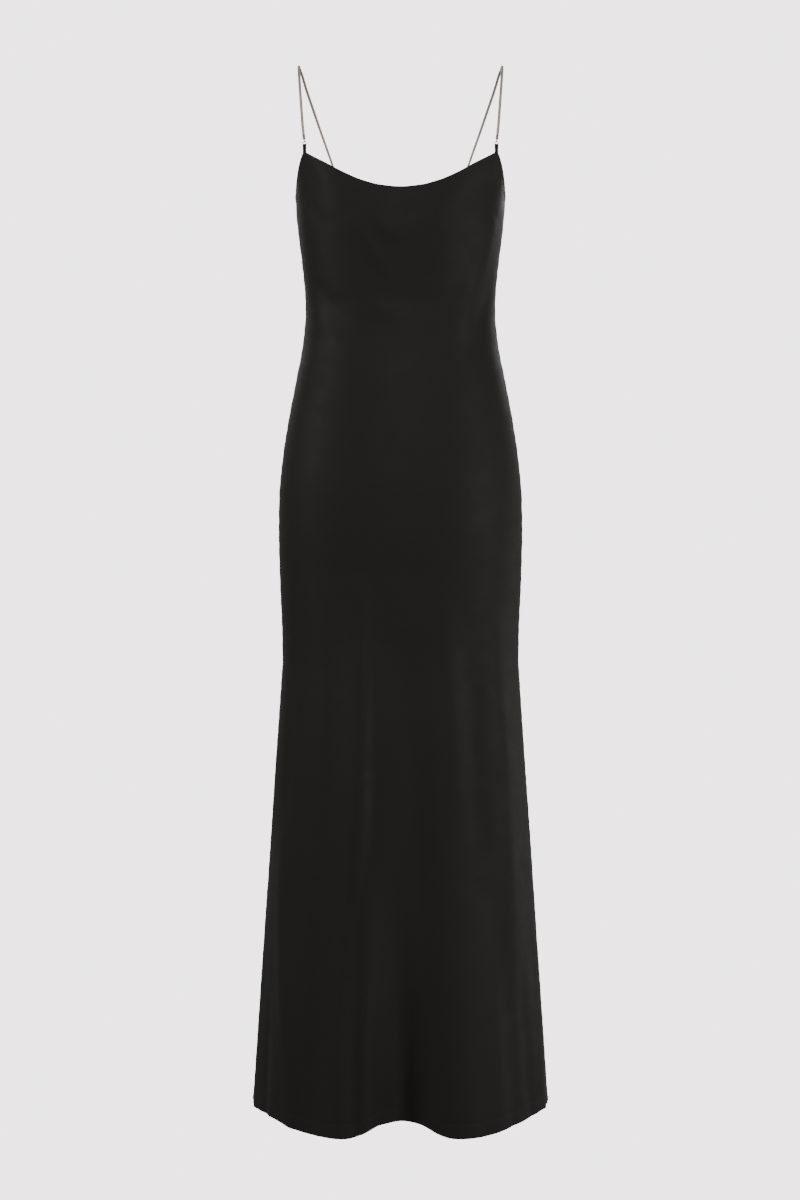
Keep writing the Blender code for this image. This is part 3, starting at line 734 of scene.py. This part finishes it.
def make_stitches(name, panel, turn_ends, stitch, material):
    """A row of stitches on the inner face, along an edge."""
    turn = np.linspace(*turn_ends, STITCH_SAMPLES)
    height = getattr(panel, stitch.edge)(turn) + stitch.inset
    points = cloth_points(panel, turn, height)
    normal = cloth_normals(panel, turn, height)
    lift = wall_at(panel, turn, height) + stitch.thread * 0.25
    points = points - normal * lift[:, None]
    run = run_along(points)
    rings = len(STITCH_TAPER)
    shares = np.linspace(0.0, 1.0, rings)
    size = stitch.thread / 2 * STITCH_TAPER
    angle = np.arange(STITCH_SIDES) * math.tau / STITCH_SIDES
    all_points = []
    faces = []
    for start in np.arange(stitch.pitch, run[-1] - stitch.pitch, stitch.pitch):
        at = start + shares * stitch.length
        centre = points_at(at, run, points)
        out = points_at(at, run, normal)
        centre[:, 2] += (shares - 0.5) * stitch.tilt
        centre -= out * (np.sin(shares * math.pi) * stitch.thread * 0.45)[:, None]
        beside = np.cross(directions(centre), out)
        faces += tube_faces(rings, STITCH_SIDES, len(all_points))
        offset = beside[:, None] * np.cos(angle)[:, None] + out[:, None] * np.sin(angle)[:, None]
        all_points += (centre[:, None] + offset * size[:, None, None]).reshape(-1, 3).tolist()
    return mesh_object(name, all_points, faces, [material])


class Holder:
    """A strap's end: its ring's middle and axis and its tab's foot, read from the CAD nodes."""

    def __init__(self, place, name, facing):
        low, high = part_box(f"ring_{place}_{name}")
        self.middle = np.array((low + high) / 2)
        points = np.array([vertex.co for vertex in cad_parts[f"ring_{place}_{name}"].data.vertices])
        _, _, axes = np.linalg.svd(points - points.mean(axis=0), full_matrices=False)
        self.axis = axes[2] * np.sign(axes[2][1]) * facing
        low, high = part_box(f"tab_{place}_{name}")
        self.foot = np.array(((low.x + high.x) / 2, (low.y + high.y) / 2, low.z))
        self.across = np.cross((0.0, 0.0, 1.0), self.axis)

    def pull(self, towards):
        """The direction in the ring's plane in which a strap that starts there pulls it."""
        away = towards - self.middle
        away = away - self.axis * (away @ self.axis)
        return away / np.linalg.norm(away)


def make_ring(name, holder, material):
    """A jump ring of round wire with its fine cut low at one side."""
    up = np.cross(holder.axis, holder.across)
    angle = np.linspace(*np.radians(RING_ENDS), 56)
    path = arc(holder.middle, RING_RADIUS, angle, holder.across, up)
    size = np.full(len(path), RING_WIRE)
    size[0] = size[-1] = RING_WIRE * RING_END_SIZE
    return sweep(name, path, holder.axis, size, size, 14, 1.0, material)


def make_tab(name, holder, material):
    """A narrow folded strip, up from inside the edge, through the ring and down again, tacked at its foot."""
    rise = holder.middle[2] - RING_RADIUS - holder.foot[2] + TAB_LIFT
    bend = np.linspace(math.pi, 0.0, 13)
    half = [TAB_END] + [(out, rise * share) for out, share in TAB_SIDE]
    loop = half + [(TAB_LOOP * math.cos(angle), rise + TAB_LOOP * math.sin(angle)) for angle in bend]
    loop += [(-out, up) for out, up in reversed(half)]
    path = [holder.foot + holder.axis * out + np.array((0.0, 0.0, up)) for out, up in loop]
    path = route_points(path, 70)
    share = np.clip((path[:, 2] - holder.foot[2]) / rise, 0.0, 1.0)
    wide = TAB_FOOT_WIDTH + (TAB_WIDTH - TAB_FOOT_WIDTH) * share**0.7
    return sweep(name, path, holder.across, wide, TAB_THICKNESS, 12, 0.45, material)


def make_tack(name, holder, material):
    """The stitches across a tab's foot that hold its two sides together."""
    points = []
    faces = []
    for up, tilt in TACK_ROWS:
        for facing in (-1, 1):
            path = [
                holder.foot + holder.across * step * TAB_WIDTH * TACK_REACH
                + holder.axis * facing * (TACK_OUT - TACK_BOW * step**2)
                + np.array((0.0, 0.0, up + tilt * step))
                for step in np.linspace(-1.0, 1.0, len(TACK_SIZES))
            ]
            faces += tube_faces(len(path), TACK_SIDES, len(points))
            rings = tube_points(path, holder.axis, TACK_SIZES, TACK_SIZES, TACK_SIDES, 1.0)
            points += rings.reshape(-1, 3).tolist()
    return mesh_object(name, points, faces, [material], sharp=SHARP_WIRE)


def make_links(name, side, material):
    """A flat snake chain of close chevron links, with its path, how far along it that is, and its width's
    direction. It lies flat on the shoulder and turns on edge down the back."""
    fine = route_points([(side * across, back, up) for across, back, up in STRAP_ROUTE], ROUTE_STEPS)
    run = run_along(fine)
    links = int(run[-1] / CHAIN_PITCH)
    at = np.linspace(0.0, run[-1], links * len(LINK_SIZES) + 1)
    path = points_at(at, run, fine)
    turned = np.maximum(0.0, 2 * (at / run[-1]) - 1)[:, None]
    wide = np.array((side, 0.0, 0.0)) * (1 - turned)
    wide = wide + np.array((side * math.cos(ON_EDGE), -math.sin(ON_EDGE), 0.0)) * turned
    size = np.resize(LINK_SIZES, len(at))
    shape = (path, wide, CHAIN_WIDTH * size, CHAIN_THICKNESS * size, CHAIN_SIDES, 0.85)
    chain = sweep(name, *shape, material)
    angle = np.arange(CHAIN_SIDES) * math.tau / CHAIN_SIDES
    shift = CHAIN_PITCH * CHEVRON_LEAN * np.abs(np.cos(angle)) - CHAIN_PITCH * CHEVRON_SHIFT
    points = tube_points(*shape) + directions(path)[:, None] * shift[None, :, None]
    chain.data.vertices.foreach_set("co", points.reshape(-1).astype(np.float32))
    chain.data.update()
    return chain, at, path, wide


def make_hook(name, holder, path, material):
    """A wire hook round the ring, with its neck led into the chain."""
    pull = holder.pull(path[0])
    wire = holder.middle + pull * RING_RADIUS
    hook = arc(wire, HOOK_RADIUS, np.radians(np.linspace(*HOOK_ENDS, 26)), holder.axis, pull)
    neck = np.linspace(hook[-1], path[3], 7)[1:]
    return sweep(name, np.vstack([hook, neck]), holder.across, HOOK_WIRE, HOOK_WIRE, 10, 1.0, material)


def make_cap(name, at, path, wide, material):
    """The cap crimped over a chain's end, with two shallow waists."""
    body = points_at(np.maximum(CAP_REACH, 0.0), at, path)
    start = (path[0] - path[4]) / np.linalg.norm(path[0] - path[4])
    body = body + start * np.maximum(-CAP_REACH, 0.0)[:, None]
    return sweep(name, body, wide, CAP_WIDTH * CAP_SIZES, CAP_THICKNESS * CAP_SIZES, 16, 0.9, material)


def make_chain(name, side, front, back, chain_material, cap_material):
    """A strap's chain, and a hook and a cap for each of its ends."""
    chain, at, path, wide = make_links(name, side, chain_material)
    fittings = []
    for place, holder, end, facing in (("front", front, path, wide[0]), ("back", back, path[::-1], wide[-1])):
        fittings.append(make_hook(f"{name}_hook_{place}", holder, end, cap_material))
        fittings.append(make_cap(f"{name}_cap_{place}", at, end, facing, cap_material))
    return chain, fittings


class Material:
    """A node material with its Principled shader and short calls to add and join nodes."""

    def __init__(self, name, **plain):
        self.made = bpy.data.materials.new(name)
        self.made.use_nodes = True
        self.tree = self.made.node_tree
        self.shader = self.tree.nodes["Principled BSDF"]
        for socket, value in plain.items():
            self.drive(socket, value)

    def set(self, socket, value):
        if isinstance(value, bpy.types.NodeSocket):
            self.tree.links.new(value, socket)
        else:
            socket.default_value = value

    def drive(self, socket, value):
        self.set(self.shader.inputs[socket.replace("_", " ")], value)

    def add(self, kind, settings=None, **inputs):
        node = self.tree.nodes.new(f"ShaderNode{kind}")
        for name, value in (settings or {}).items():
            setattr(node, name, value)
        for name, value in inputs.items():
            self.set(node.inputs[name.replace("_", " ")], value)
        return node

    def maths(self, operation, first, second):
        node = self.add("Math", {"operation": operation})
        self.set(node.inputs[0], first)
        self.set(node.inputs[1], second)
        return node.outputs[0]

    def blend(self, first, share, second, rest):
        """Share of the first value and rest of the second, added up."""
        return self.maths("ADD", self.maths("MULTIPLY", first, share), self.maths("MULTIPLY", second, rest))

    def span(self, value, low, high, start=0.0, end=1.0):
        """Value, which runs from start to end, brought to run from low to high."""
        node = self.add("MapRange", Value=value, From_Min=start, From_Max=end, To_Min=low, To_Max=high)
        return node.outputs["Result"]

    def mix(self, share, first, second):
        """A colour between two, given without their alpha."""
        node = self.add("Mix", {"data_type": "RGBA"})
        self.set(node.inputs[0], share)
        self.set(node.inputs[6], (*first, 1.0))
        self.set(node.inputs[7], (*second, 1.0))
        return node.outputs[2]

    def mapped(self, vector, scale, turn=0.0):
        node = self.add("Mapping", Vector=vector, Scale=(scale, scale, scale), Rotation=(0.0, 0.0, turn))
        return node.outputs["Vector"]

    def place(self, scale):
        """Coordinates in the object's own space, times scale."""
        return self.mapped(self.add("TexCoord").outputs["Object"], scale)

    def flat(self, scale, turn):
        """Coordinates on the flat cloth in metres, turned to its threads, times scale."""
        return self.mapped(self.add("UVMap", {"uv_map": "cloth"}).outputs["UV"], scale, turn)

    def noise(self, vector, scale, detail=2.0, roughness=0.5):
        node = self.add("TexNoise", Vector=vector, Scale=scale, Detail=detail, Roughness=roughness)
        return node.outputs["Fac"]

    def wave(self, vector, direction, scale, distortion):
        settings = {"wave_type": "BANDS", "wave_profile": "SIN", "bands_direction": direction}
        node = self.add("TexWave", settings, Vector=vector, Scale=scale, Distortion=distortion, Detail=2.0)
        return node.outputs["Fac"]

    def bump(self, height, strength, distance):
        node = self.add("Bump", Height=height, Strength=strength, Distance=distance)
        self.drive("Normal", node.outputs["Normal"])


def cloth_material(name, dark, light, smooth, rough, weave, **plain):
    """Bias-cut crepe: fine crossing threads at 45 degrees with a pebbled grain, and soft uneven tone."""
    made = Material(name, **plain)
    threads = made.flat(TO_MM, math.radians(45.0))
    warp = made.wave(threads, "X", 0.70, 1.4)
    weft = made.wave(threads, "Y", 0.62, 1.8)
    crossing = made.maths("MAXIMUM", warp, weft)
    pebble = made.noise(threads, 2.4, detail=3.0)
    grain = made.blend(crossing, 0.55, pebble, 0.45)
    broad = made.noise(made.place(1.0), 5.0, detail=3.0)
    soft = made.noise(made.place(1.0), 38.0, detail=3.0)
    made.drive("Base_Color", made.mix(made.blend(broad, 0.6, grain, 0.4), dark, light))
    made.drive("Roughness", made.span(made.blend(soft, 0.6, grain, 0.4), smooth, rough, 0.3, 0.7))
    made.bump(grain, weave, 0.00007)
    return made.made


def thread_material(name, colour, **plain):
    """Twisted thread, with painted shade between its turns."""
    made = Material(name, **plain)
    twist = made.wave(made.place(TO_MM), "DIAGONAL", 1.1, 0.5)
    # Painted shade: the colour darkens in the grooves between the turns and lightens on their crests,
    # following the bump.
    dark = [value * 0.7 for value in colour]
    light = [value * 1.3 for value in colour]
    made.drive("Base_Color", made.mix(twist, dark, light))
    made.drive("Roughness", made.span(twist, 0.5, 0.65))
    made.bump(twist, 0.4, 0.00005)
    return made.made


def metal_material(name, dark, light, smooth, rough, scale, scratch, metal=1.0):
    """Drawn and polished wire with slight tarnish and fine scratches."""
    made = Material(name, Metallic=metal)
    tarnish = made.noise(made.place(1.0), scale, detail=4.0, roughness=0.6)
    fine = made.noise(made.place(1.0), scale * 9, detail=2.0)
    mixed = made.blend(tarnish, 0.75, fine, 0.25)
    made.drive("Base_Color", made.mix(made.span(mixed, 0.0, 1.0, 0.32, 0.66), dark, light))
    made.drive("Roughness", made.span(mixed, rough, smooth, 0.32, 0.66))
    made.bump(fine, scratch, 0.00002)
    return made.made


def make_studio():
    """A pale floor that sweeps up into a round backdrop on all sides."""
    profile = [(STUDIO_RADIUS * share, FLOOR_LEVEL) for share in (0.02, 0.2, 0.4, 0.6)]
    middle = STUDIO_RADIUS - STUDIO_BEND
    profile += [
        (middle + STUDIO_BEND * math.sin(angle), FLOOR_LEVEL + STUDIO_BEND - STUDIO_BEND * math.cos(angle))
        for angle in np.linspace(0.0, math.pi / 2, 16)
    ]
    profile += [(STUDIO_RADIUS, STUDIO_TOP)]
    around = [math.tau * step / STUDIO_SEGMENTS for step in range(STUDIO_SEGMENTS)]
    points = [(0.0, 0.0, FLOOR_LEVEL)]
    for reach, level in profile:
        points += [(reach * math.cos(angle), reach * math.sin(angle), level) for angle in around]
    faces = [(0, 1 + step, 1 + (step + 1) % STUDIO_SEGMENTS) for step in range(STUDIO_SEGMENTS)]
    for row in range(len(profile) - 1):
        here = 1 + row * STUDIO_SEGMENTS
        outer = here + STUDIO_SEGMENTS
        for step in range(STUDIO_SEGMENTS):
            beside = (step + 1) % STUDIO_SEGMENTS
            faces.append((here + step, outer + step, outer + beside, here + beside))
    paper = Material("studio_paper", Base_Color=(0.0, 0.0, 0.0, 1.0), Roughness=1.0, Specular_IOR_Level=0.0,
                     Emission_Color=PAPER_COLOUR, Emission_Strength=PAPER_GLOW)
    sweep_made = mesh_object("studio_sweep", points, faces, [paper.made])
    # The paper doesn't light the dress, so the lamps and the air shape it.
    sweep_made.visible_diffuse = False
    sweep_made.visible_glossy = False
    sweep_made.visible_shadow = False


def add_light(lamp):
    """A soft box that the camera doesn't see."""
    data = bpy.data.lights.new(lamp.name, "AREA")
    data.shape = "RECTANGLE"
    data.size, data.size_y = lamp.size
    data.energy = lamp.power
    data.color = lamp.colour
    light = add_object(lamp.name, data)
    light.location = lamp.place
    light.rotation_mode = "QUATERNION"
    light.rotation_quaternion = (Vector(lamp.target) - Vector(lamp.place)).to_track_quat("-Z", "Y")
    light.visible_camera = False


def add_air():
    """An even, dim light from all round."""
    world = bpy.data.worlds.new("studio_air")
    world.use_nodes = True
    background = world.node_tree.nodes["Background"]
    background.inputs["Color"].default_value = AIR_COLOUR
    background.inputs["Strength"].default_value = AIR_STRENGTH
    bpy.context.scene.world = world


def add_camera():
    data = bpy.data.cameras.new("camera")
    data.lens = CAMERA_LENS
    data.clip_end = CAMERA_REACH
    camera = add_object("camera", data)
    camera.location = CAMERA_PLACE
    camera.rotation_euler = (math.radians(90.0), 0.0, 0.0)
    bpy.context.scene.camera = camera


def make_materials():
    face = cloth_material(
        "black_crepe", (0.0147, 0.0132, 0.0126), (0.0193, 0.0181, 0.0159), smooth=0.46, rough=0.58,
        weave=0.35, Specular_IOR_Level=0.09,
    )
    reverse = cloth_material(
        "black_satin_reverse", (0.0080, 0.0075, 0.0072), (0.0125, 0.0118, 0.0112), smooth=0.28, rough=0.38,
        weave=0.22, Specular_IOR_Level=0.35, Sheen_Weight=0.03, Sheen_Roughness=0.3,
    )
    tab_cloth = cloth_material(
        "black_tab", (0.0070, 0.0065, 0.0060), (0.0120, 0.0110, 0.0104), smooth=0.50, rough=0.62, weave=0.4,
        Specular_IOR_Level=0.10,
    )
    thread = thread_material("black_thread", (0.016, 0.015, 0.014), Specular_IOR_Level=0.3)
    chain_metal = metal_material(
        "taupe_chain", (0.31, 0.262, 0.218), (0.46, 0.396, 0.335), smooth=0.52, rough=0.64, scale=420.0,
        scratch=0.3, metal=0.4,
    )
    cap_metal = metal_material(
        "dark_cap", (0.16, 0.13, 0.11), (0.30, 0.25, 0.21), smooth=0.25, rough=0.38, scale=500.0, scratch=0.3,
    )
    ring_metal = metal_material(
        "pale_gold_ring", (0.46, 0.400, 0.335), (0.64, 0.580, 0.500), smooth=0.18, rough=0.32, scale=700.0,
        scratch=0.2,
    )
    return face, reverse, tab_cloth, thread, chain_metal, cap_metal, ring_metal


def main():
    add_camera()
    add_air()
    make_studio()
    for lamp in LAMPS:
        add_light(lamp)

    face, reverse, tab_cloth, thread, chain_metal, cap_metal, ring_metal = make_materials()
    front = make_panel("front_cloth", FRONT, [face, reverse])
    back = make_panel("back_cloth", BACK, [face, reverse])
    pieces = {front: "cloth", back: "cloth"}
    trim = {front: [], back: []}
    for name, side in (("left", 1), ("right", -1)):
        seam = make_seam(f"seam_{name}", side, reverse)
        pieces[seam] = "cloth"
        trim[front if side > 0 else back].append(seam)

    stitch_rows = (
        ("front_neck", FRONT, front, (-56.0, 56.0), TOP_STITCH),
        ("back_neck", BACK, back, (-88.0, 88.0), TOP_STITCH),
        ("front_armhole_left", FRONT, front, (59.4, 88.0), TOP_STITCH),
        ("front_armhole_right", FRONT, front, (-88.0, -59.4), TOP_STITCH),
        ("hem_front", FRONT, front, (-88.0, 88.0), HEM_STITCH),
        ("hem_back", BACK, back, (-88.0, 88.0), HEM_STITCH),
    )
    for name, panel, owner, ends, stitch in stitch_rows:
        row = make_stitches(f"stitches_{name}", panel, ends, stitch, thread)
        pieces[row] = "cloth"
        trim[owner].append(row)

    for name, side in (("left", 1), ("right", -1)):
        front_hold = Holder("front", name, -1)
        back_hold = Holder("back", name, 1)
        for place, hold, owner in (("front", front_hold, front), ("back", back_hold, back)):
            ring = make_ring(f"wire_ring_{place}_{name}", hold, ring_metal)
            tab = make_tab(f"folded_tab_{place}_{name}", hold, tab_cloth)
            tack = make_tack(f"tack_{place}_{name}", hold, thread)
            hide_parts(f"ring_{place}_{name}")
            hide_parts(f"tab_{place}_{name}")
            pieces.update({ring: "ring_metal", tab: "tab_cloth", tack: "tab_cloth"})
            trim[owner] += [ring, tab, tack]
        chain, fittings = make_chain(f"chain_{name}", side, front_hold, back_hold, chain_metal, cap_metal)
        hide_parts(f"strap_{name}")
        for metal in (chain, *fittings):
            pieces[metal] = "chain_metal"

    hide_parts("front_panel")
    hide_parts("back_panel")
    for piece, slot in pieces.items():
        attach(piece, "root")


main()
